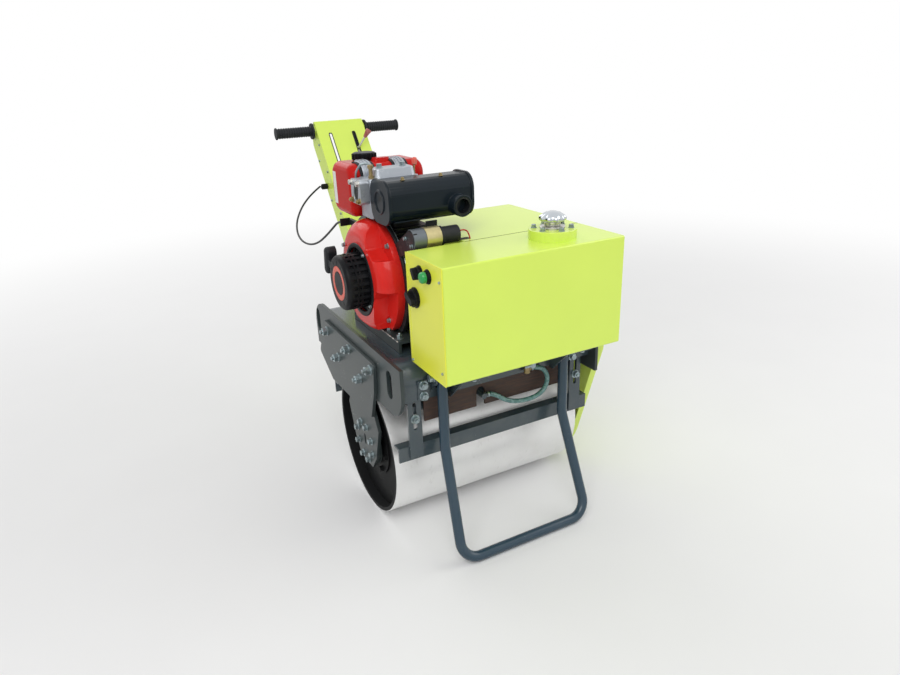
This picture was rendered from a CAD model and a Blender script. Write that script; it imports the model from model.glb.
import math

import bpy
import numpy as np
from mathutils import Matrix, Vector


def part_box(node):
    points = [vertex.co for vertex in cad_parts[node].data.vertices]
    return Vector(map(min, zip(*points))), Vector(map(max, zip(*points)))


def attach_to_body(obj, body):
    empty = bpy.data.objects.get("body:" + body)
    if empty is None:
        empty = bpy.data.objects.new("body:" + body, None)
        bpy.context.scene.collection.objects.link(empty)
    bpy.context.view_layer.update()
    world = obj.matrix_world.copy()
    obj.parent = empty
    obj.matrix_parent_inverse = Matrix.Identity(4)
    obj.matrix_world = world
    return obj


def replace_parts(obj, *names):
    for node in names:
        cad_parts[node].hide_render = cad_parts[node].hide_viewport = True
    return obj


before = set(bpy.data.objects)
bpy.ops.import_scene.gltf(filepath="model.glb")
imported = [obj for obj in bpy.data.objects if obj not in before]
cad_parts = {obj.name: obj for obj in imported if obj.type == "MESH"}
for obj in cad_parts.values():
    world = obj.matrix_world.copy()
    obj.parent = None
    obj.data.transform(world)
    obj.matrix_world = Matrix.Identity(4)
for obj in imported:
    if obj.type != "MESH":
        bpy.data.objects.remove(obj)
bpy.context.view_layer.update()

# ---- camera ----
# It stands ahead of the machine's left front corner, a little above the handlebar, and looks
# down at the engine, the water tank and the drum.


def metres(x, y, z):
    """A point in metres in the shared frame, from millimetres measured at the drum's axis."""
    low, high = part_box("drum_shell")
    return (x / 1000, (low.y + high.y) / 2 + y / 1000, z / 1000)


def look(azimuth, elevation, roll):
    """The camera's turn: right, up and backward axes from its heading, its dip and its roll."""
    a, e, c = math.radians(azimuth), math.radians(elevation), math.radians(roll)
    ahead = np.array((-math.sin(a) * math.cos(e), math.cos(a) * math.cos(e), -math.sin(e)))
    right = np.cross(ahead, (0, 0, 1))
    right /= np.linalg.norm(right)
    up = np.cross(right, ahead)
    turned_right = math.cos(c) * right + math.sin(c) * up
    turned_up = math.cos(c) * up - math.sin(c) * right
    return np.array((turned_right, turned_up, -ahead)).T


camera_data = bpy.data.cameras.new("camera")
camera_data.lens = 26.94
camera_data.sensor_width = 36.0
camera = bpy.data.objects.new("camera", camera_data)
bpy.context.scene.collection.objects.link(camera)
camera.location = metres(-867, -1662, 1223)
camera.rotation_euler = Matrix(look(-27.25, 21.78, -2.35)).to_euler()
bpy.context.scene.camera = camera

# ---- cords: water hose, throttle cable, starter wire ----
# A clear green vinyl hose from the tank's tap to the sprinkler pipe, a black sleeved throttle
# cable from the handle to the engine, and a short red wire at the starter motor. Each is
# pushed or screwed on at both ends.


class Tone:
    """A value in a material's nodes; sums and products of Tones add the Math nodes they need."""

    def __init__(self, tree, socket=None):
        self.tree = tree
        self.socket = socket

    def node(self, kind, settings=(), inputs=(), output=0):
        """Adds a node of a type, sets its settings, then sets or links its sockets."""
        new = self.tree.nodes.new("ShaderNode" + kind)
        for key, value in dict(settings).items():
            setattr(new, key, value)
        for key, value in dict(inputs).items():
            if isinstance(value, Tone):
                self.tree.links.new(value.socket, new.inputs[key])
            else:
                new.inputs[key].default_value = value
        return Tone(self.tree, new.outputs[output])

    def math(self, operation, first, second):
        return self.node("Math", {"operation": operation}, {0: first, 1: second})

    def __add__(self, other):
        return self.math("ADD", self, other)

    __radd__ = __add__

    def __sub__(self, other):
        return self.math("SUBTRACT", self, other)

    def __rsub__(self, other):
        return self.math("SUBTRACT", other, self)

    def __mul__(self, other):
        return self.math("MULTIPLY", self, other)

    __rmul__ = __mul__

    def __gt__(self, other):
        return self.math("GREATER_THAN", self, other)

    def part(self, axis):
        """One coordinate of a vector."""
        return self.node("SeparateXYZ", inputs={0: self}, output="XYZ".index(axis))

    def noise(self, scale, detail=2.0, stretch=(1, 1, 1)):
        """Soft random spots, 0 to 1, with that many to the metre."""
        sized = self.node("Mapping", inputs={0: self, 3: stretch})
        return self.node("TexNoise", inputs={"Vector": sized, "Scale": scale, "Detail": detail})

    def step(self, low, high):
        """0 below low, 1 above high, smooth between them."""
        smooth = {"interpolation_type": "SMOOTHSTEP"}
        return self.node("MapRange", smooth, {0: self, 1: low, 2: high})

    def blend(self, below, above):
        """A colour that goes from below to above as this value goes from 0 to 1."""
        ends = [end if isinstance(end, Tone) else (*end, 1) for end in (below, above)]
        return self.node("Mix", {"data_type": "RGBA"}, {0: self, 6: ends[0], 7: ends[1]}, 2)


def surface(name, varying, **fixed):
    """A material: varying makes its linked sockets from the object's coordinates, fixed holds
    the sockets that are the same all over. A varying "height", in metres, becomes a bump."""
    material = bpy.data.materials.new(name)
    material.use_nodes = True
    tree = material.node_tree
    shader = tree.nodes["Principled BSDF"]
    for key, value in fixed.items():
        shader.inputs[key.replace("_", " ")].default_value = value
    place = Tone(tree).node("TexCoord", output=3)
    for key, value in varying(place).items():
        if key == "height":
            bump = place.node("Bump", inputs={"Strength": 1.0, "Distance": 1.0, "Height": value})
            tree.links.new(bump.socket, shader.inputs["Normal"])
        else:
            tree.links.new(value.socket, shader.inputs[key.replace("_", " ")])
    return material


def moulded(name, colour, rough=0.5, grain=0.00002, gloss=0.32):
    """Moulded rubber or plastic: a fine pebbled skin, a little greyed where it is handled."""

    def varying(place):
        rubbed = place.noise(23.0, 4.0).step(0.45, 0.75)
        return {
            "Base_Color": rubbed.blend(colour, [0.9 * c + 0.008 for c in colour]),
            "Roughness": rough + 0.12 * rubbed,
            "height": grain * place.noise(900.0),
        }

    return surface(name, varying, Specular_IOR_Level=gloss)


def lay(name, body, route, radius, finish, node):
    """A round cord on a smooth line through its route's control points."""
    line = bpy.data.curves.new(name, "CURVE")
    line.dimensions = "3D"
    line.bevel_depth = radius
    line.bevel_resolution = 5
    line.resolution_u = 16
    line.use_fill_caps = True
    spline = line.splines.new("NURBS")
    spline.points.add(len(route) - 1)
    points = [metres(*point) for point in route]
    for control, point in zip(spline.points, points):
        control.co = (*point, 1)
    spline.order_u = 3
    spline.use_endpoint_u = True
    line.materials.append(finish)
    cord = bpy.data.objects.new(name, line)
    bpy.context.scene.collection.objects.link(cord)
    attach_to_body(cord, body)
    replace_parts(cord, node)


hose_route = (
    (93.2, -282, 460), (114, -283, 457), (133, -283, 442), (142, -283, 420), (138, -283, 397),
    (124, -282, 378), (100, -281, 368), (67, -279, 366), (33, -277, 371), (4, -275, 384),
    (-19, -273, 404), (-40, -272, 412),
)
cable_route = (
    (-114.5, 799.9, 834.2), (-158, 768, 818), (-213, 720, 785), (-255, 658, 749),
    (-276, 592, 720), (-279, 528, 704), (-270, 465, 704), (-259, 405, 722),
    (-250, 345, 755), (-244, 288, 789), (-241, 245, 814), (-240, 205.8, 821),
)
wire_route = ((-95.5, -231, 853), (-80, -232, 856), (-68, -234, 847), (-66, -236, 831.4))


def clear_vinyl(place):
    streak = place.noise(60.0, 3.0).step(0.35, 0.7)
    return {
        "Base_Color": streak.blend((0.075, 0.195, 0.185), (0.15, 0.30, 0.29)),
        "Roughness": 0.22 + 0.14 * streak,
        "height": 0.00004 * place.noise(300.0),
    }


hose_vinyl = surface("hose_vinyl", clear_vinyl, Coat_Weight=0.4, Transmission_Weight=0.12)
cable_black = moulded("cable_black", (0.015, 0.015, 0.016), rough=0.42)
wire_red = moulded("wire_red", (0.45, 0.03, 0.02), rough=0.35)
lay("hose", "machine", hose_route, 0.0065, hose_vinyl, "water_hose")
lay("throttle", "machine", cable_route, 0.00325, cable_black,
    "throttle_cable")
lay("starter_lead", "machine", wire_route, 0.00175, wire_red, "starter_wire")

# ---- drum ----
# A smooth rolled steel drum, bright from running on asphalt, with fine lines round it. Its
# end discs, hubs and bolted hub covers are sprayed black.


def dress(node, finish, edge=0.0):
    """Gives a frame node its finish, and where edge is set rounds its sharp edges by that."""
    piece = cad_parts[node]
    piece.data.materials.clear()
    piece.data.materials.append(finish)
    if edge:
        weld = piece.modifiers.new("weld", "WELD")
        weld.merge_threshold = 0.00002
        flat = piece.modifiers.new("flat", "DECIMATE")
        flat.decimate_type = "DISSOLVE"
        flat.angle_limit = math.radians(1.0)
        rounded = piece.modifiers.new("rounded", "BEVEL")
        rounded.width = edge
        rounded.segments = 2
        rounded.limit_method = "ANGLE"
        rounded.angle_limit = math.radians(40)
        rounded.harden_normals = True


def rolled_steel(place):
    """Bright lined steel on the drum's outer face, 212.5 mm from its axis, and black enamel on
    its inner one."""
    lines = place.noise(1.0, 3.0, stretch=(420, 2, 2))
    stain = place.noise(5.0, 4.0).step(0.42, 0.8)
    scuffs = place.noise(38.0, 5.0, stretch=(2.5, 1, 1)).step(0.6, 0.74)
    bright = stain.blend((0.89, 0.89, 0.885), (0.78, 0.775, 0.765))
    rolled = (0.25 * scuffs).blend(bright, (0.60, 0.595, 0.58))
    low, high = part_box("drum_shell")
    axis = (0, -(low.y + high.y) / 2, -(low.z + high.z) / 2)
    from_axis = place.node("Mapping", inputs={0: place, 1: axis, 3: (0, 1, 1)})
    radius = from_axis.node("VectorMath", {"operation": "LENGTH"}, {0: from_axis}, 1)
    outside = radius.step(0.2108, 0.2116)
    return {
        "Base_Color": outside.blend((0.006, 0.0065, 0.007), rolled),
        "Roughness": 0.62 - 0.32 * outside + 0.14 * lines * outside,
        "Metallic": 0.55 * outside,
        "height": 0.00003 * lines,
    }


def enamel(name, colour, worn, rough=0.32, chips=0.62, dusty=0.12, gloss=0.3):
    """Sprayed enamel: faint orange peel, small chips down to what is under it, and dust that
    lies thicker towards the ground and on level faces."""

    def varying(place):
        drift = place.noise(6.0, 3.0)
        shade = drift.blend([0.95 * c for c in colour], [min(1.03 * c, 0.9) for c in colour])
        low = 1 - place.part("Z").step(0.05, 0.75)
        level = place.node("NewGeometry", output=1).part("Z").step(0.4, 0.95)
        dust = place.noise(14.0, 5.0).step(0.35, 0.8) * (0.25 + 0.6 * low + 0.3 * level) * dusty
        dulled = dust.blend(shade, (0.36, 0.34, 0.30))
        spots = place.noise(260.0, 3.0) * place.noise(17.0, 2.0).step(0.35, 0.7)
        chip = spots.step(chips, chips + 0.03)
        return {
            "Base_Color": chip.blend(dulled, worn),
            "Roughness": rough + 0.5 * dust + 0.25 * chip,
            "height": 0.000012 * place.noise(420.0, 2.0) - 0.00006 * chip,
        }

    return surface(name, varying, Specular_IOR_Level=gloss, Coat_Weight=0.4 * gloss,
                   Coat_Roughness=0.12)


drum_steel = surface("drum_steel", rolled_steel, Specular_IOR_Level=0.2)
drum_black = enamel("drum_black", (0.006, 0.0065, 0.007), (0.10, 0.095, 0.09), 0.6, dusty=0.02,
                    gloss=0.1)
dress("drum_shell", drum_steel)
dress("drum_ends", drum_black)

# The hub covers are held by a ring of small hex screws, each with a chamfered head over a
# plain washer.


def walls(low, high):
    """Four-sided faces between rows of corners and the rows above them, each closed round."""
    quads = np.stack((low, np.roll(low, -1, 1), np.roll(high, -1, 1), high), axis=2)
    return quads.reshape(-1, 4).tolist()


def numbered(rings):
    """The vertex number of each corner in a stack of rings."""
    return np.arange(rings[..., 0].size).reshape(rings.shape[:2])


def swept_rings(rings):
    """Vertices and faces through a stack of rings, each one closed round and the ends capped."""
    corner = numbered(rings)
    faces = [*walls(corner[:-1], corner[1:]), corner[0, ::-1].tolist(), corner[-1].tolist()]
    return rings.reshape(-1, 3), faces


def spun(profile, around):
    """Rings of points: a profile's (radius, height) pairs carried round the third axis."""
    profile = np.array(profile, float)
    angle = np.linspace(0, 2 * np.pi, around, endpoint=False)
    radius, height = profile[:, :1], profile[:, 1:]
    return np.stack((radius * np.cos(angle), radius * np.sin(angle), height + 0 * angle), axis=2)


def joined(shapes):
    """Several vertex and face lists as one."""
    points, faces, count = [], [], 0
    for shape_points, shape_faces in shapes:
        points.append(shape_points)
        faces.extend([[corner + count for corner in face] for face in shape_faces])
        count += len(shape_points)
    return np.concatenate(points), faces


def hex_screw(across, washer=1.25, stud=0.0):
    """A hex head on its washer, its size across flats; with a stud it is a nut on a thread."""
    corner = across / math.sqrt(3)
    plate, head, ring = 0.14 * across, 0.62 * across, washer * corner
    top = head + plate
    washer_profile = [(ring, 0), (ring, 0.8 * plate), (0.96 * ring, plate)]
    head_profile = [(corner, plate), (corner, 0.9 * head + plate), (0.87 * corner, top)]
    shapes = [swept_rings(spun(washer_profile, 24)), swept_rings(spun(head_profile, 6))]
    if stud:
        shaft = 0.27 * across
        thread = [(shaft, head), (shaft, top + 0.8 * stud), (0.8 * shaft, top + stud)]
        shapes.append(swept_rings(spun(thread, 12)))
    return joined(shapes)


def frame_of(way):
    """Three axes, the last along way."""
    ahead = np.array(way, float) / np.linalg.norm(way)
    side = np.cross((0, 0, 1) if abs(ahead[2]) < 0.9 else (0, 1, 0), ahead)
    side /= np.linalg.norm(side)
    return np.stack((side, np.cross(ahead, side), ahead))


def mesh_of(name, points, faces, sharp=35):
    """A mesh, smooth where its faces turn by less than sharp degrees."""
    mesh = bpy.data.meshes.new(name)
    mesh.from_pydata(np.asarray(points).tolist(), [], faces)
    mesh.shade_smooth()
    mesh.set_sharp_from_angle(angle=math.radians(sharp))
    return mesh


def fit(name, body, mesh, finish):
    """Puts a mesh into the scene with its finish, riding on a body."""
    piece = bpy.data.objects.new(name, mesh)
    mesh.materials.append(finish)
    bpy.context.scene.collection.objects.link(piece)
    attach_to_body(piece, body)
    return piece


def fasteners(name, places, way, shape, finish, turn=0.0, body="machine"):
    """The same fastener at each of the places (millimetres from the drum's axis), standing
    along way."""
    points, faces = shape
    c, s = math.cos(turn), math.sin(turn)
    turned_points = points @ np.array(((c, s, 0), (-s, c, 0), (0, 0, 1)))
    set_out = np.array([metres(*place) for place in places])
    copies = (turned_points / 1000) @ frame_of(way) + set_out[:, None, :]
    corners = [[k + n * len(points) for k in face] for n in range(len(places)) for face in faces]
    fit(name, body, mesh_of(name, copies.reshape(-1, 3), corners), finish)


def plated(place):
    """Zinc plate, clouded in spots."""
    stain = place.noise(70.0, 4.0).step(0.4, 0.8)
    return {
        "Base_Color": stain.blend((0.33, 0.40, 0.42), (0.13, 0.15, 0.15)),
        "Roughness": 0.28 + 0.3 * stain,
        "height": 0.00002 * place.noise(900.0, 2.0),
    }


def round_ring(x, centre, radius, count, first=0.0):
    """Places round a circle seen from the side."""
    angle = np.linspace(0, 2 * np.pi, count, endpoint=False) + first
    return [(x, centre[0] + radius * math.cos(a), centre[1] + radius * math.sin(a)) for a in angle]


zinc = surface("zinc", plated, Metallic=0.85)
hands = ((-1, "left"), (1, "right"))
hub = (0, 212.5)
for hand, name in hands:
    fasteners(f"hub_cover_screws_{name}", round_ring(hand * 277, hub, 90, 8, 0.2), (hand, 0, 0),
              hex_screw(13), drum_black, body="drum")

# ---- chassis, side plates, hanger plates and bearing plates ----
# The tray is one folded plate in blue-grey enamel with thick flame-cut plates welded to its
# sides. The drum hangs on bolted plates that carry the axle's flange.
chassis_paint = enamel("chassis_paint", (0.036, 0.056, 0.068), (0.30, 0.31, 0.31), 0.22, 0.66,
                       gloss=0.6)
plate_paint = enamel("plate_paint", (0.034, 0.046, 0.047), (0.38, 0.39, 0.38), 0.34, 0.64, 0.08,
                     gloss=0.24)
dress("chassis", chassis_paint, 0.0012)
dress("drum_axle", plate_paint)

to_left, to_right, upward = (-1, 0, 0), (1, 0, 0), (0, 0, 1)
to_front, to_back = (0, -1, 0), (0, 1, 0)


def screws(name, places, way, across, washer=1.25, stud=0.0, turn=0.0, body="machine"):
    """Zinc plated hex screws, or nuts on studs, at each of the places."""
    shape = hex_screw(across, washer, stud)
    fasteners(name, places, way, shape, zinc, turn, body)


hanger_bolts = ((-123, 493), (42, 494), (232, 488), (-36, 433), (145, 432))
for hand, name in hands:
    dress(f"side_plate_{name}", plate_paint, 0.0012)
    dress(f"hanger_plate_{name}", plate_paint, 0.0012)
    dress(f"bearing_plate_{name}", plate_paint, 0.0010)
    if hand < 0:
        screws("hanger_bolts_left", [(-315, y, z) for y, z in hanger_bolts], (hand, 0, 0),
               22, 1.12, 7, 0.3)
    flange_bolts = round_ring(hand * 305, (0, 216), 57, 8, math.pi / 8)
    screws(f"flange_bolts_{name}", flange_bolts, (hand, 0, 0), 15, 1.3, turn=0.4)

# A weld bead runs where the tray meets each side plate.


def tube_on(path, radius, around=12):
    """Vertices and faces of a round rod along a path in millimetres, each ring square to the
    path's run there and its ends closed."""
    path = np.array(path, float)
    ahead = np.gradient(path, axis=0)
    ahead /= np.linalg.norm(ahead, axis=1)[:, None]
    lift = np.array((0.0, 0.0, 1.0))
    if np.abs(ahead @ lift).max() > 0.95:
        lift = np.array((0.3, 0.95, 0.1))
    side = np.cross(ahead, lift)
    side /= np.linalg.norm(side, axis=1)[:, None]
    up = np.cross(side, ahead)
    angle = np.linspace(0, 2 * np.pi, around, endpoint=False)
    reach = np.broadcast_to(np.asarray(radius, float), (len(path),))
    rings = path[:, None] + reach[:, None, None] * (
        np.cos(angle)[None, :, None] * side[:, None] - np.sin(angle)[None, :, None] * up[:, None]
    )
    return swept_rings(rings)


def attach(name, shape, finish, sharp=35, body="machine"):
    """A piece made from a shape's millimetre points, fitted to a body."""
    points, faces = shape
    points = np.asarray(points) / 1000 + np.array(metres(0, 0, 0))
    return fit(name, body, mesh_of(name, points, faces, sharp), finish)


bead_steps = 160
ripple = 2.6 + 0.5 * np.sin(np.arange(bead_steps) * 1.9)
for hand, name in hands:
    bead = [(hand * 292.5, y, 543.5) for y in np.linspace(-206, 266, bead_steps)]
    attach(f"tray_weld_{name}", tube_on(bead, ripple, 8), plate_paint, 80)

# ---- scrapers and sprinkler ----
# Two folded angle bars carry brown fibre strips that wipe the drum. Their slotted brackets are
# screwed to the tray with wide washers, and the sprinkler pipe runs along the front one.
dress("scraper_front", chassis_paint, 0.0008)
dress("scraper_rear", chassis_paint, 0.0008)


def brown_fibre(place):
    fibres = place.noise(30.0, 5.0, stretch=(1, 1, 9)).step(0.35, 0.7)
    return {
        "Base_Color": fibres.blend((0.034, 0.018, 0.013), (0.070, 0.038, 0.027)),
        "Roughness": 0.62 + 0.2 * fibres,
        "height": 0.00008 * fibres,
    }


dress("scraper_strips", surface("brown_strip", brown_fibre))
dress("sprinkler_pipe", chassis_paint)
for name, face, way in (("front", -260, -1), ("rear", 260, 1)):
    places = [(x, face, 392) for x in (-255, 255)]
    screws(f"scraper_screws_{name}", places, (0, way, 0), 16, 1.35, 5, 0.2)


def boxed(low, high, edge=0.0):
    """Vertices and faces of a block between two corners in millimetres, its upright edges cut
    back by edge."""
    (x0, y0, z0), (x1, y1, z1) = low, high
    c = max(edge, 0.01)
    outline = np.array((
        (x0 + c, y0), (x1 - c, y0), (x1, y0 + c), (x1, y1 - c),
        (x1 - c, y1), (x0 + c, y1), (x0, y1 - c), (x0, y0 + c),
    ))
    rings = [np.column_stack((outline, np.full(8, z))) for z in (z0, z1)]
    return swept_rings(np.stack(rings))


pad_x, pad_half = (-232, 232), 16
pads = [boxed((x - pad_half, -272, 447), (x + pad_half, -267.8, 500), 1) for x in pad_x]
attach("tray_pads", joined(pads), chassis_paint)
tray_screws = [(x, -272, z) for x in pad_x for z in (457, 487)]
screws("tray_screws", tray_screws, to_front, 16, 1.35)

# ---- stand ----
# One bent steel tube in blue-grey enamel, pinned between welded ears so that it swings up under
# the tank. The pins are bolts with their nuts on the inner ears.
stand_paint = enamel("stand_paint", (0.018, 0.046, 0.072), (0.30, 0.31, 0.31), 0.26, 0.70, 0.03,
                     gloss=0.45)
dress("stand", stand_paint)
dress("stand_brackets", chassis_paint, 0.0008)
pin_x, ear_half = 188, 24
for hand, name in hands:
    for way in (-1, 1):
        side_name, stud = ("in", 4) if way * hand < 0 else ("out", 0.0)
        ear = (hand * pin_x + way * ear_half, -290, 510)
        screws(f"stand_pin_{name}_{side_name}", [ear], (way, 0, 0), 17, 1.2, stud, 0.3)

# ---- water tank, control panel and drive cover ----
# Folded sheet in one bright lime enamel. The panel on the tank's left end is screwed on, and
# the cover behind the tank is lifted off by its screws, so a fine dark joint shows between.
lime_paint = enamel("lime_paint", (0.66, 0.84, 0.115), (0.45, 0.47, 0.25), 0.30, 0.70, 0.03, 0.5)
panel_paint = enamel("panel_paint", (0.77, 0.80, 0.060), (0.45, 0.45, 0.25), 0.34, 0.70, 0.03, 0.4)
dress("water_tank", lime_paint, 0.0010)
dress("control_panel", panel_paint, 0.0008)
dress("drive_cover", lime_paint, 0.0010)
dress("tank_brackets", chassis_paint, 0.0010)
panel_screws = ((-430, 799), (-426, 583), (-265, 560))
screws("panel_screws", [(-251, y, z) for y, z in panel_screws], to_left, 5.5, 1.3)
lips = [boxed((-251.8, y0, z0), (-250.9, y1, z1)) for y0, z0, y1, z1 in (
    (-438, 553, -426, 831),
    (-264, 553, -256, 831),
    (-426, 823, -264, 831),
    (-426, 553, -264, 559),
)]
attach("panel_rim", joined(lips), panel_paint)
screws("rail_bolts", [(x, -405, 542) for x in (-160, 160)], (0, 0, -1), 11, 1.4)
cover_screws = [(x, 81, z) for x in (-70, 228) for z in (575, 800)]
screws("cover_screws", cover_screws, to_back, 9, 1.4)


def mottled(name, scale, tone, other, **fixed):
    """A plain material that drifts between two tones, with that many spots to the metre."""
    return surface(name, lambda place: {"Base_Color": place.noise(scale).blend(tone, other)},
                   **fixed)


# The joint's black sealing strip stands a hair proud of the sheet on the top and the right,
# and a dark hole beside it takes the starter's wire.
joint_black = mottled("joint_black", 80.0, (0.012, 0.013, 0.012), (0.05, 0.055, 0.02),
                      Roughness=0.6)
seam = [(-92, -256, 831.0), (0, -256, 831.0), (249.2, -256, 831.0), (250.9, -256, 829.6),
        (251.0, -256, 700), (251.0, -256, 556)]
attach("cover_joint", tube_on(seam, 0.55, 6), joint_black)
wire_hole = boxed((-100, -238, 830.4), (-63, -217, 831.3), 2)
attach("wire_hole", wire_hole, joint_black)

# The same dark line shows where each hanger plate ends over its bearing plate.
for hand, name in hands:
    line = [(hand * 305.4, y, 336.2 - 10 * (y + 98) / 323) for y in np.linspace(-92, 104, 12)]
    attach(f"plate_joint_{name}", tube_on(line, 0.8, 6), joint_black)

# ---- switches ----
# A key switch without its key, a green push button and a rotary switch stand in black bezels
# on the panel. The button is a domed green cap.
black_plastic = moulded("black_plastic", (0.007, 0.0075, 0.009), 0.36, gloss=0.10)
black_rubber = moulded("black_rubber", (0.008, 0.010, 0.013), 0.58, 0.00004)
dress("control_switches", black_plastic, 0.0006)


def turned(profile, centre, way, around=32, skin=swept_rings):
    """Vertices and faces of a turned part: its profile's (radius, height) pairs carried round
    an axis through centre (millimetres) along way, and closed at both ends."""
    points, faces = skin(spun(profile, around))
    return points @ frame_of(way) + np.array(centre, float), faces


def looped_rings(rings):
    """Vertices and faces of rings whose last one meets the first, so nothing is capped."""
    corner = numbered(rings)
    return rings.reshape(-1, 3), walls(corner, np.roll(corner, -1, 0))


def ring_of(profile, centre, way, around=32):
    """A turned ring that is open in the middle: its closed profile carried round the axis."""
    return turned(profile, centre, way, around, looped_rings)


panel_x = -251
dome = [(13.2, -3), (13.2, 2), (12.6, 4.8), (10.6, 7.6), (6.5, 9.2), (0.3, 9.8)]
green = mottled("button_green", 200.0, (0.006, 0.24, 0.050), (0.010, 0.34, 0.075),
                Roughness=0.28, Coat_Weight=0.15)
attach("start_button", turned(dome, (panel_x - 12, -372, 798), to_left), green)
bezel = ((0, -0.2), (0, 2.2), (1, 3), (3, 3), (3.4, 2), (6, 1.2), (6, -0.2))
bezels = [
    ring_of([(radius - inward, h) for inward, h in bezel], (panel_x, y, z), to_left, 40)
    for y, z, radius in ((-330, 797, 17.5), (-372, 798, 17), (-299, 730, 25))
]
attach("switch_bezels", joined(bezels), black_plastic)


def nickel(place):
    return {
        "Base_Color": place.noise(120.0).blend((0.60, 0.59, 0.56), (0.50, 0.49, 0.46)),
        "Roughness": 0.22 + 0.2 * place.noise(300.0),
    }


nickelled = surface("nickelled", nickel, Metallic=0.9)

# ---- filler ----
# A thick lime flange bolted to the tank's top with six screws, a narrow nickelled neck, and a
# polished cap with a scalloped rim and a plain domed top.


def polished(place):
    smear = place.noise(40.0, 3.0)
    return {"Base_Color": smear.blend((0.62, 0.65, 0.68), (0.50, 0.54, 0.58)),
            "Roughness": 0.07 + 0.10 * smear}


chrome = surface("bright_chrome", polished, Metallic=1.0)
filler_x, filler_y, tank_top, flange_top = 101, -348, 831, 855
flange_screws = [(filler_x + 45 * math.cos(a), filler_y + 45 * math.sin(a), flange_top)
                 for a in np.linspace(0.4, 0.4 + 2 * math.pi, 6, endpoint=False)]
screws("filler_screws", flange_screws, upward, 11, 1.2)


def scalloped(profile, centre, lobes=10, around=120):
    """A turned dome whose radius swells by its profile's third number once for each lobe:
    radius * (1 + swell * cos(lobes * angle))."""
    profile = np.array(profile, float)
    angle = np.linspace(0, 2 * np.pi, around, endpoint=False)
    radius = profile[:, :1] * (1 + profile[:, 2:] * np.cos(lobes * angle))
    height = profile[:, 1:2] + 0 * angle
    rings = np.stack((radius * np.cos(angle), radius * np.sin(angle), height), axis=2)
    return swept_rings(rings + np.array(centre, float))


cap_profile = [(21, 0, 0), (29, 0.6, 0.05), (31.6, 3, 0.06), (31.8, 8, 0.06), (30.6, 11, 0.05),
               (27, 15, 0.03), (20, 19.4, 0.012), (11, 22.4, 0), (0.3, 23.6, 0)]
cap = scalloped(cap_profile, (filler_x, filler_y, 872.4))
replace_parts(attach("cap_dome", cap, chrome, 50), "filler_cap")
flange = turned([(58.9, 0), (58.9, 22.8), (57.8, 24), (0.3, 24)],
                (filler_x, filler_y, tank_top), upward, 72)
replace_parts(attach("filler_plate", flange, lime_paint), "filler_flange")
neck = turned([(31, 0), (31, 4), (30, 5), (24, 5.6), (20.5, 8), (20, 12), (22, 16.6), (25, 17.6)],
              (filler_x, filler_y, flange_top), upward, 48)
attach("filler_neck", neck, nickelled)

# ---- water tap and hose clamps ----
# A brass tap screwed into the tank's underside, opened by a short plated lever. A plated clamp
# holds the hose at each end.


def stained(name, clean, stain, spots, fade, rough, rougher, stretch=(1, 1, 1), **fixed):
    """A material in two tones, the second in soft spots and rougher there: spots holds how
    many there are to the metre and their detail, fade the noise between which they set in."""

    def varying(place):
        spot = place.noise(*spots, stretch).step(*fade)
        return {"Base_Color": spot.blend(clean, stain), "Roughness": rough + rougher * spot}

    return surface(name, varying, **fixed)


brass = stained("brass_metal", (0.44, 0.34, 0.16), (0.24, 0.18, 0.09), (50.0, 4.0), (0.35, 0.75),
                0.26, 0.25, Metallic=0.9)
dress("water_tap", brass, 0.0006)
lever = joined((boxed((66, -312.5, 474), (82, -309.5, 486), 3),
                boxed((48, -312, 478), (70, -310, 484), 1)))
attach("tap_lever", lever, zinc)
hoop = [(7.0, -2.4), (7.9, -2.2), (7.9, 2.2), (7.0, 2.4)]
hoops = [turned(hoop, centre, to_right, 24) for centre in ((88.5, -282, 460), (-44.5, -272, 412))]
attach("hose_clamps", joined(hoops), zinc)

# ---- drive guard ----
# Pressed lime sheet over the belt drive on the right, its rim rounded, with a stiffening swage
# that follows the rim and six low screws through it.
dress("drive_guard", lime_paint)


def hull_of(circles, inward, steps=160):
    """The outline round several circles (y, z, radius), each made smaller by inward: the
    farthest circle edge in each of the steps directions."""
    circles = np.array(circles, float)
    centres, reach = circles[:, :2], circles[:, 2] - inward
    angle = np.linspace(0, 2 * np.pi, steps, endpoint=False)
    ways = np.stack((np.cos(angle), np.sin(angle)), axis=1)
    best = np.argmax(ways @ centres.T + reach, axis=1)
    return centres[best] + reach[best][:, None] * ways


def at_x(x, outline):
    """An outline seen from the side, (y, z), set at that x."""
    return np.column_stack((np.full(len(outline), x), outline))


guard = ((*hub, 190), (-223, 470, 60), (165, 470, 60), (-15, 715, 80))
swage_steps = ((30, 341.8), (33, 343.2), (39, 343.2), (42, 341.8))
swage = np.stack([at_x(x, hull_of(guard, inward)) for inward, x in swage_steps], axis=1)
corner = numbered(swage)
after = np.roll(corner, -1, 0)
strips = np.stack((corner[:, :-1], corner[:, 1:], after[:, 1:], after[:, :-1]), axis=2)
attach("guard_swage", (swage.reshape(-1, 3), strips.reshape(-1, 4).tolist()), lime_paint,
       50)
low_head = [(5.2, 0), (5.2, 0.5), (4.2, 1.1), (2.0, 1.2), (1.8, 0.7), (0.3, 0.7)]
guard_places = ((-70, 745), (45, 745), (-245, 470), (190, 470), (-120, 90), (120, 90))
low_heads = [turned(low_head, (342, y, z), to_right, 24) for y, z in guard_places]
attach("guard_screws", joined(low_heads), zinc)

# ---- engine base, block and back plate ----
# The engine stands on a folded rail with chipped edges. Its case is a casting sprayed black
# with fins round the barrel, and a thick black plate carries the blower housing.


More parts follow.
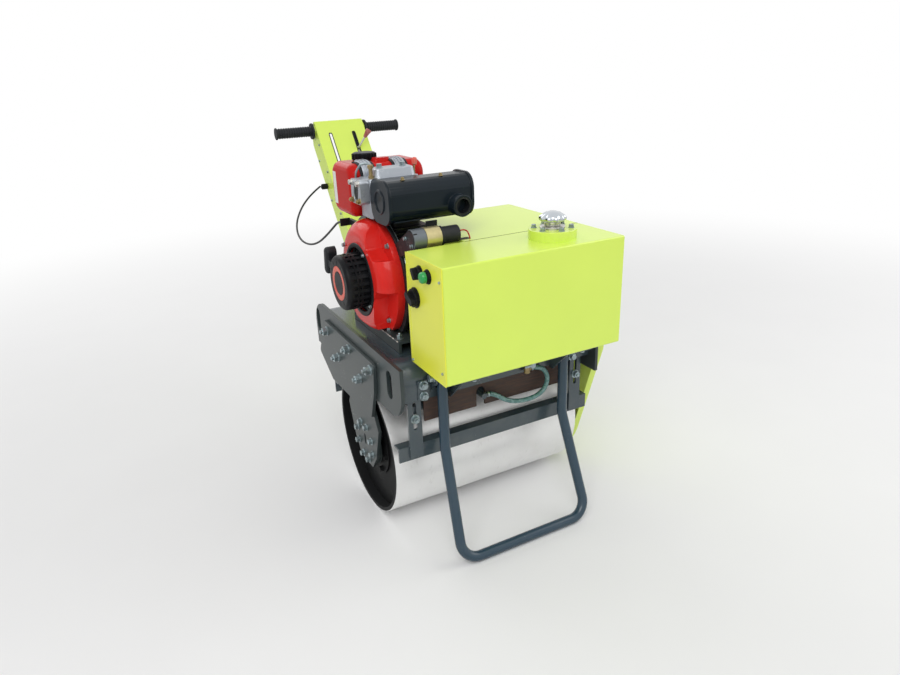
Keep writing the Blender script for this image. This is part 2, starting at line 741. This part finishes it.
def sand_cast(name, colour, bare, rough, metallic=0.0, gloss=0.5):
    """A sand-cast skin: coarse grain, with the high spots rubbed towards bare metal."""

    def varying(place):
        grain = place.noise(420.0, 4.0)
        rubbed = (grain * place.noise(30.0, 3.0).step(0.3, 0.7)).step(0.42, 0.6)
        soot = place.noise(11.0, 4.0).step(0.45, 0.8)
        shade = rubbed.blend(colour, bare)
        return {
            "Base_Color": (0.35 * soot).blend(shade, [0.4 * c for c in colour]),
            "Roughness": rough - 0.15 * rubbed + 0.2 * soot,
            "height": 0.00012 * grain,
        }

    return surface(name, varying, Metallic=metallic, Specular_IOR_Level=gloss)


engine_black = sand_cast("engine_black", (0.009, 0.010, 0.012), (0.045, 0.045, 0.045), 0.5,
                         gloss=0.3)
cast_metal = sand_cast("cast_metal", (0.40, 0.43, 0.47), (0.60, 0.62, 0.65), 0.40, 0.75)
dress("engine_base", plate_paint, 0.0010)
dress("engine_block", engine_black, 0.0008)
dress("back_plate", engine_black, 0.0012)
base_bolts = [(x, y, 574) for x in (-236, -108) for y in (-150, -85, 125)]
screws("base_bolts", base_bolts, upward, 14, 1.4, 5, 0.2)
case_bolts = [(-95, y, z) for y in (-90, 95) for z in (610, 720)]
fasteners("case_bolts", case_bolts, to_right, hex_screw(11, 1.2), engine_black,
          0.3)

# The back plate's edge is rubbed bright along its front, and the rail's left edge is chipped to
# bright metal along its top.
edge_y, edge_z, edge_radius = -17, 702, 167.8
plate_edge = [(-213, edge_y + edge_radius * math.cos(a), edge_z + edge_radius * math.sin(a))
              for a in np.radians(np.linspace(98, 205, 60))]
attach("plate_edge", tube_on(plate_edge, 0.9, 6), zinc)
rail_edge = [(-250.2, y, 573.2) for y in np.linspace(-170, 60, 24)]
chipped = stained("rail_edge", (0.13, 0.15, 0.15), (0.66, 0.64, 0.58), (120.0, 4.0), (0.47, 0.56),
                  0.45, 0.2, (1, 1, 0.3))
attach("rail_edge", tube_on(rail_edge, 1.6, 6), chipped)

# ---- blower housing ----
# A deep-drawn steel dome in glossy red, open round the crank for the recoil starter. The
# opening has a black rolled lip with screws, and hex screws hold the housing's rim.


def red_gloss(deep, light):
    """Gloss red that drifts between the two tones, under a trace of dust."""

    def varying(place):
        dust = place.noise(24.0, 5.0).step(0.5, 0.85) * 0.06
        red = place.noise(7.0, 2.0).blend(deep, light)
        return {
            "Base_Color": dust.blend(red, (0.34, 0.16, 0.13)),
            "Roughness": 0.20 + 0.6 * dust,
            "height": 0.00001 * place.noise(380.0, 2.0),
        }

    return varying


red_paint = surface("red_paint", red_gloss((0.60, 0.016, 0.012), (0.72, 0.024, 0.018)),
                    Specular_IOR_Level=0.14, Coat_Weight=0.16, Coat_Roughness=0.05)
dress("blower_housing", red_paint, 0.0022)
crank = (-15, 708)
lip = [(87, -3), (87, 1.5), (89, 3.2), (94, 3.6), (98, 2.4), (99.5, -0.5), (96, -1)]
attach("blower_lip", ring_of(lip, (-283, *crank), to_left, 64), black_plastic)
screws("lip_screws", round_ring(-286, crank, 93.5, 4, 0.6), to_left, 7, 1.2)
rim_screws = ((-238, -120, 814), (-242, -106, 612), (-281.6, 85, 783), (-281.6, 85, 633))
screws("rim_screws", rim_screws, to_left, 10, 1.3, turn=0.3)

# ---- recoil starter and its handle ----
# A black pressed drum with slots round it and a red ring on its face; the cord's rubber handle
# rests in a socket at the rear.
dress("recoil_starter", black_plastic, 0.0008)
ridge = ring_of([(73.5, 0), (75, 0.5), (75, 4.5), (73.5, 5)], (-311, *crank), to_left, 64)
attach("recoil_ridge", ridge, black_plastic)
dress("recoil_handle", black_rubber, 0.0010)


def worn_red(name):
    return stained(name, (0.72, 0.085, 0.050), (0.60, 0.20, 0.15), (60.0, 4.0), (0.4, 0.75),
                   0.4, 0.15)


hub_ring = [(32, -0.5), (32, 1.0), (33.5, 2.0), (47, 2.0), (49, 1.0), (49, -0.5)]
attach("recoil_ring", ring_of(hub_ring, (-340, *crank), to_left, 48), worn_red("worn_red"))
fasteners("recoil_screws", round_ring(-274, crank, 81, 6, 0.1), to_left, hex_screw(7, 1.2),
          black_plastic)
spoke_rings = [round_ring(-341.0, crank, radius, 12) for radius in (51, 56, 61)]
spokes = [tube_on(spoke, 1.5, 8) for spoke in zip(*spoke_rings)]
attach("recoil_spokes", joined(spokes), black_plastic)

# ---- cylinder head ----
# Bare cast aluminium with a rocker cover on top. The cover on its left end has a dark oval
# recess and is held by two hex bolts above and two brass nuts below. The injector's brass nut
# with its pipe and the decompression lever stand up.
dress("cylinder_head", cast_metal, 0.0015)
cover_bolts = [(-273.8, y, 963) for y in (-45, 2)]
fasteners("head_cover_bolts", cover_bolts, to_left, hex_screw(12, 1.2), nickelled)

# The recess is an oval, leant by its angle and drawn in a little inside its joint.
lean, end_radius, half_run = math.radians(105), 14.6, 27 - 15.35
oval_centre = np.array((-21.65, 941))
round_turn = np.linspace(0, 2 * np.pi, 65)
run = np.where(np.cos(round_turn) >= 0, half_run, -half_run) + end_radius * np.cos(round_turn)
rise = end_radius * np.sin(round_turn)
oval = np.stack((run * math.cos(lean) - rise * math.sin(lean),
                 run * math.sin(lean) + rise * math.cos(lean)), axis=1)
drawn_in = oval[:-1] * (0.84, 0.9) + oval_centre
recess = np.stack([at_x(x, drawn_in) for x in (-270.2, -269.6)])
attach("head_recess", swept_rings(recess), engine_black)
gasket = tube_on(at_x(-270.4, oval + oval_centre), 1.0, 6)
attach("head_gasket", gasket, joint_black)
flange_nuts = [(-273.8, y, 919) for y in (-45, 2)]
fasteners("head_flange_nuts", flange_nuts, to_left, hex_screw(11, 1.25, 3), brass,
          0.3)
screws("rocker_nuts", [(x, -20, 994) for x in (-205, -140)], upward, 13, 1.25)
post = turned([(7, 0), (7, 8), (5, 9), (5, 26), (7.5, 27), (7.5, 34), (6, 36), (0.4, 36.5)],
              (-236, -38, 970), upward, 20)
attach("injector_union", post, brass)
pipe = np.array(((-236, -38, 1004), (-240, -30, 1008), (-250, -8, 1006), (-258, 12, 985),
                 (-256, 22, 950), (-246, 24, 900), (-232, 30, 860), (-222, 40, 830),
                 (-216, 60, 800)), float)
stations = np.linspace(0, len(pipe) - 1, 80)
smooth = np.stack([np.interp(stations, np.arange(len(pipe)), pipe[:, k]) for k in range(3)], 1)
for _ in range(12):
    smooth[1:-1] = (smooth[:-2] + 2 * smooth[1:-1] + smooth[2:]) / 4
attach("injector_pipe", tube_on(smooth, 2.6, 10), zinc)
stem = tube_on([(-108, -22, 968), (-108, -22, 984), (-106, -21, 996)], 2.6, 10)
attach("decompression_stem", stem, brass)
knob = turned([(4, -2), (6.4, 0), (7, 4), (7, 12), (6.2, 15), (4, 17), (0.3, 17.6)],
              (-106, -21, 994), (0.1, 0.05, 1), 24)
attach("decompression_knob", knob, worn_red("knob_red"))

# ---- muffler ----
# A lock-seamed box of heat-proof satin black with a rolled rim at each end, a bracket under
# it and brass nuts on its studs. The stub's mouth is sooty.


def heat_black(place):
    """Blued black paint in streaks, scratched to metal on a stretch of the lower seam."""
    streak = place.noise(9.0, 5.0, stretch=(0.4, 1, 1)).step(0.4, 0.8)
    scratch = (place.noise(55.0, 5.0, stretch=(0.5, 3, 3)) * place.noise(12.0)).step(0.24, 0.30)
    scratch = scratch * (1 - place.part("Z").step(0.887, 0.889))
    scratch = scratch * place.part("X").step(-0.19, -0.17)
    scratch = scratch * (1 - place.part("X").step(-0.10, -0.08))
    blued = streak.blend((0.004, 0.009, 0.014), (0.007, 0.013, 0.019))
    return {
        "Base_Color": (0.7 * scratch).blend(blued, (0.42, 0.38, 0.28)),
        "Roughness": 0.34 + 0.14 * streak,
        "height": 0.00005 * place.noise(240.0, 3.0),
    }


muffler_black = surface("muffler_black", heat_black, Specular_IOR_Level=0.10,
                        Coat_Weight=0.3, Coat_Roughness=0.12)
dress("muffler", muffler_black, 0.0012)
seam_path = [(x, -174.5, 882 - 0.6 * (x / -250)) for x in np.linspace(-238, -26, 30)]
attach("muffler_seam", tube_on(seam_path, 1.5, 8), muffler_black)
fasteners("muffler_nuts", [(x, -142, 975.8) for x in (-196, -92)], upward,
          hex_screw(8, 1.25, 1.5), brass, 0.2)
soot_ring = ring_of([(18, -24), (21.8, -24), (21.8, -1), (21.8, 0.2), (18, 0.2), (20.6, -2)],
                    (-62, -200, 905), to_front, 40)
attach("muffler_soot", soot_ring, engine_black)
bracket = joined((boxed((-150, -165, 838), (-118, -160, 872), 2),
                  boxed((-150, -165, 836), (-118, -120, 841), 2)))
attach("muffler_bracket", bracket, engine_black)

# ---- starter motor ----
# A steel barrel clamped to the back plate's ear by two small bolts: bare grey casting, a brass
# coloured plated case and a black end cap.
dress("starter_motor", engine_black, 0.0008)
starter_axis = (-225, 847)
grey_case = ring_of([(24, 0), (25.4, 1), (25.4, 33), (24, 34)],
                    (-222.4, *starter_axis), to_right, 40)
grey_cast = sand_cast("grey_cast", (0.15, 0.17, 0.19), (0.32, 0.34, 0.36), 0.36, 0.6)
attach("starter_casting", grey_case, grey_cast)
gold_case = ring_of([(24, 0), (25.8, 0.6), (25.8, 40.4), (24, 41)],
                    (-189, *starter_axis), to_right, 40)
plated_gold = stained("plated_gold", (0.60, 0.52, 0.27), (0.42, 0.36, 0.19), (34.0, 4.0),
                      (0.4, 0.8), 0.30, 0.2, Metallic=0.85)
attach("starter_case", gold_case, plated_gold)
starter_bolts = [(-222, y, z) for y, z in ((-197, 846), (-233, 834))]
screws("starter_bolts", starter_bolts, to_left, 8, 1.2)

# ---- fuel tank, cap and straps ----
# A glossy red steel tank held down by two ribbed straps over black rubber. A black screw cap
# is on top and a blank white plate on the left end.
fuel_red = surface("fuel_red", red_gloss((0.44, 0.010, 0.008), (0.54, 0.014, 0.011)),
                   Specular_IOR_Level=0.04, Coat_Weight=0.07, Coat_Roughness=0.04)
dress("fuel_tank", fuel_red)
dress("fuel_cap", black_plastic, 0.0010)
dress("fuel_tank_straps", cast_metal, 0.0010)


def around_tank(inset, steps=20):
    """The strap's line over the tank in the side view: up the front, round the top's corner
    and back along the top, inset from the tank's sides (negative stands outside)."""
    low, high, front_y, back_y, r = 902, 1000 - inset, 20 + inset, 80, 36 - inset
    angle = np.linspace(np.pi, np.pi / 2, steps)
    corner = np.stack((front_y + r + r * np.cos(angle), high - r + r * np.sin(angle)), axis=1)
    rise = np.linspace((front_y, low), corner[0], 8)[:-1]
    back = np.linspace(corner[-1], (back_y, high), 8)[1:]
    return np.concatenate((rise, corner, back))


def band(x0, x1, inner, outer):
    """A flat band between x0 and x1 whose two faces lie that far inside the tank's sides."""
    low, high = around_tank(inner), around_tank(outer)
    lines = (at_x(x0, low), at_x(x1, low), at_x(x1, high), at_x(x0, high))
    return swept_rings(np.stack(lines, axis=1)[::-1])


rubbers, ribs = [], []
for x in (-220, -125):
    rubbers += [band(x - 22, x - 15.3, 0.3, -3.0), band(x + 15.3, x + 22, 0.3, -3.0)]
    ribs += [band(x + k - 2.2, x + k + 2.2, -4.6, -7.0) for k in (-9, 0, 9)]
attach("strap_rubbers", joined(rubbers), black_rubber, 50)
attach("strap_ribs", joined(ribs), cast_metal, 50)


def white_enamel(place):
    grime = place.noise(40.0, 4.0).step(0.45, 0.8) * 0.3
    return {"Base_Color": grime.blend((0.74, 0.74, 0.72), (0.46, 0.45, 0.42)),
            "Roughness": 0.4 + grime}


plate = boxed((-270.8, 137, 888), (-269.0, 159, 974), 0.5)
attach("blank_plate", plate, surface("white_enamel", white_enamel))
cap_x, cap_y, cap_radius, bar_half = -190, 120, 31.4, 2.4
grip_bars = []
for a in np.linspace(0, 2 * math.pi, 18, endpoint=False):
    x, y = cap_x + cap_radius * math.cos(a), cap_y + cap_radius * math.sin(a)
    grip_bars.append(boxed((x - bar_half, y - bar_half, 1002), (x + bar_half, y + bar_half, 1017),
                           1.6))
attach("cap_grips", joined(grip_bars), black_plastic)

# ---- air cleaner ----
# A black canister behind the engine and under the fuel tank. A plated band clamps it and a
# nut holds its lid.
dress("air_cleaner", black_plastic, 0.0015)
band_ring = ring_of([(51, 0), (53.4, 1), (53.4, 9), (51, 10)], (-150, 155, 785), to_back, 48)
attach("cleaner_band", band_ring, zinc)
screws("cleaner_nut", [(-150, 220, 785)], to_back, 13, 1.6, 5)

# ---- handle ----
# A lime channel column with two lever slots, a steel T-bar and moulded rubber grips with
# finger ribs. The travel lever is a plated rod with a faded red knob.
dress("handle_column", lime_paint, 0.0012)
dress("handle_bar", zinc)
dress("handle_bracket", chassis_paint, 0.0010)
dress("grips", black_rubber, 0.0012)
dress("travel_lever", nickelled)
pivot_y, pivot_z, tilt = 460, 486, math.radians(53)
up_column = np.array((0, math.cos(tilt), math.sin(tilt)))
off_column = np.array((0, math.sin(tilt), -math.cos(tilt)))


def on_column(x, length, depth):
    """A point length up the column from its pivot and depth behind the pivot's line."""
    return tuple(np.array((x, pivot_y, pivot_z)) + length * up_column + depth * off_column)


bar_y, bar_z = on_column(0, 676, 0)[1:]
rib_profile = [(17, -2.2), (18.6, -1.2), (18.6, 1.2), (17, 2.2)]
grip_ribs = [turned(rib_profile, (hand * x, bar_y, bar_z), to_right, 28)
             for hand in (-1, 1) for x in np.linspace(116, 224, 13)]
attach("grip_ribs", joined(grip_ribs), black_rubber, body="handle")
knob_foot = on_column(67, 598, -61)
lever_way = np.array(knob_foot) - np.array(on_column(45, 576, -34))
knob_shape = turned([(3.6, -3), (6.2, -1), (6.6, 2), (8.6, 14), (10.9, 24), (10.6, 27.5),
                     (8, 29.6), (0.3, 30.4)], knob_foot, lever_way, 28)
faded_red = stained("faded_red", (0.30, 0.055, 0.050), (0.42, 0.16, 0.15), (90.0, 3.0),
                    (0.4, 0.7), 0.42, 0.1)
attach("lever_knob", knob_shape, faded_red, body="handle")
gland = ring_of([(8.9, 0), (10.2, 0.8), (10.2, 21.0), (6.5, 24.0), (3.25, 24.0), (3.25, 21.2),
                 (8.9, 20.6)], on_column(-93, 470, 42), to_left, 24)
attach("cable_gland", gland, black_plastic, body="handle")
screw_spots = ((150, 30), (330, -8), (410, 40), (500, -8), (575, 40), (612, -8))
for hand, name in hands:
    spots = [on_column(hand * 93, length, depth) for length, depth in screw_spots]
    screws(f"column_screws_{name}", spots, (hand, 0, 0), 6, 1.3, body="handle")
for hand, name in hands:
    screws(f"pivot_nut_{name}", [(hand * 108, pivot_y, pivot_z)], (hand, 0, 0), 18, 1.3, 4, 0.2)

# Rubber lips line the two lever slots, and a split rubber sheet closes the lever's one.
slot_x, slot_middle = 45, 584
corners = [(slot_x - 9, slot_middle - 64), (slot_x + 9, slot_middle - 64),
           (slot_x + 9, slot_middle + 64), (slot_x - 9, slot_middle + 64)]
sheet = [[on_column(x, length, depth) for x, length in corners] for depth in (-19.6, -20.8)]
attach("slot_sheet", swept_rings(np.array(sheet)), black_rubber, body="handle")


def slot_lip(x):
    """A lip round one slot on the column's face: a rounded rod along a long rounded loop."""
    half, reach, thick = 5.5, 58, 1.6
    turn = np.linspace(0, 2 * np.pi, 65)[:-1]
    along = np.where(np.sin(turn) >= 0, reach, -reach) + half * np.sin(turn)
    across = half * np.cos(turn)
    spots = np.array([on_column(x + a, slot_middle + b, -25.2) for a, b in zip(across, along)])
    ahead = np.roll(spots, -1, 0) - np.roll(spots, 1, 0)
    ahead /= np.linalg.norm(ahead, axis=1)[:, None]
    lift = np.broadcast_to(-off_column, ahead.shape)
    side = np.cross(ahead, lift)
    angle = np.linspace(0, 2 * np.pi, 6, endpoint=False)
    return looped_rings(spots[:, None] + thick * (np.cos(angle)[None, :, None] * side[:, None]
                                                  + np.sin(angle)[None, :, None] * lift[:, None]))


lips = joined((slot_lip(-slot_x), slot_lip(slot_x)))
attach("slot_lips", lips, black_rubber, 80, "handle")

# ---- floor and light ----
# A plain pale floor under a white sky, one broad lamp over the machine's left front, a weaker
# one on its right and one behind it.


def lifted(material):
    """Adds a white glow, seen by the camera alone, that grows with distance from the machine,
    so that no horizon shows."""
    tree = material.node_tree
    place = Tone(tree).node("TexCoord", output=3)
    far = place.node("VectorMath", {"operation": "LENGTH"}, {0: place}, 1).step(1.0, 4.5)
    seen = Tone(tree).node("LightPath")
    glow = place.node("Emission", inputs={"Color": (1, 1, 1, 1), "Strength": 1.0})
    lit = Tone(tree, tree.nodes["Principled BSDF"].outputs[0])
    both = place.node("MixShader", inputs={0: far * seen, 1: lit, 2: glow})
    tree.links.new(both.socket, tree.nodes["Material Output"].inputs["Surface"])
    return material


span = np.linspace(-40.0, 40.0, 9)
ground = np.stack(np.broadcast_arrays(span[:, None], span[None, :], 0.0), axis=2)
corner = numbered(ground)
cells = np.stack((corner[:-1, :-1], corner[1:, :-1], corner[1:, 1:], corner[:-1, 1:]), axis=2)
floor_mesh = mesh_of("floor", ground.reshape(-1, 3), cells.reshape(-1, 4).tolist())
floor = bpy.data.objects.new("floor", floor_mesh)
pale = mottled("ground", 3.0, (0.80, 0.80, 0.80), (0.83, 0.83, 0.83), Roughness=0.9)
floor.data.materials.append(lifted(pale))
bpy.context.scene.collection.objects.link(floor)

for name, place, size, power in (
    ("key", (-1.6, -2.6, 3.2), 2.4, 62.0),
    ("fill", (2.6, -1.4, 2.2), 2.2, 24.0),
    ("back", (-0.6, 2.6, 2.8), 2.4, 26.0),
):
    lamp_data = bpy.data.lights.new(name, "AREA")
    lamp_data.shape = "SQUARE"
    lamp_data.size = size
    lamp_data.energy = power
    lamp = bpy.data.objects.new(name, lamp_data)
    lamp.location = place
    aim = Vector((0, -0.1, 0.5)) - lamp.location
    lamp.rotation_euler = aim.to_track_quat("-Z", "Y").to_euler()
    bpy.context.scene.collection.objects.link(lamp)

world = bpy.data.worlds.new("sky")
bpy.context.scene.world = world
world.use_nodes = True
sky = Tone(world.node_tree)
rays = world.node_tree.nodes.new("ShaderNodeLightPath")
seen = Tone(world.node_tree, rays.outputs["Is Camera Ray"])
seen = seen + Tone(world.node_tree, rays.outputs["Is Glossy Ray"])
seen = (seen + Tone(world.node_tree, rays.outputs["Is Transmission Ray"])) > 0.5
plain = sky.node("Background", inputs={"Color": (1, 1, 1, 1), "Strength": 0.62})
white = sky.node("Background", inputs={"Color": (1, 1, 1, 1), "Strength": 1.0})
both = sky.node("MixShader", inputs={0: seen, 1: plain, 2: white})
world.node_tree.links.new(both.socket, world.node_tree.nodes["World Output"].inputs["Surface"])
bpy.context.scene.view_settings.view_transform = "Standard"
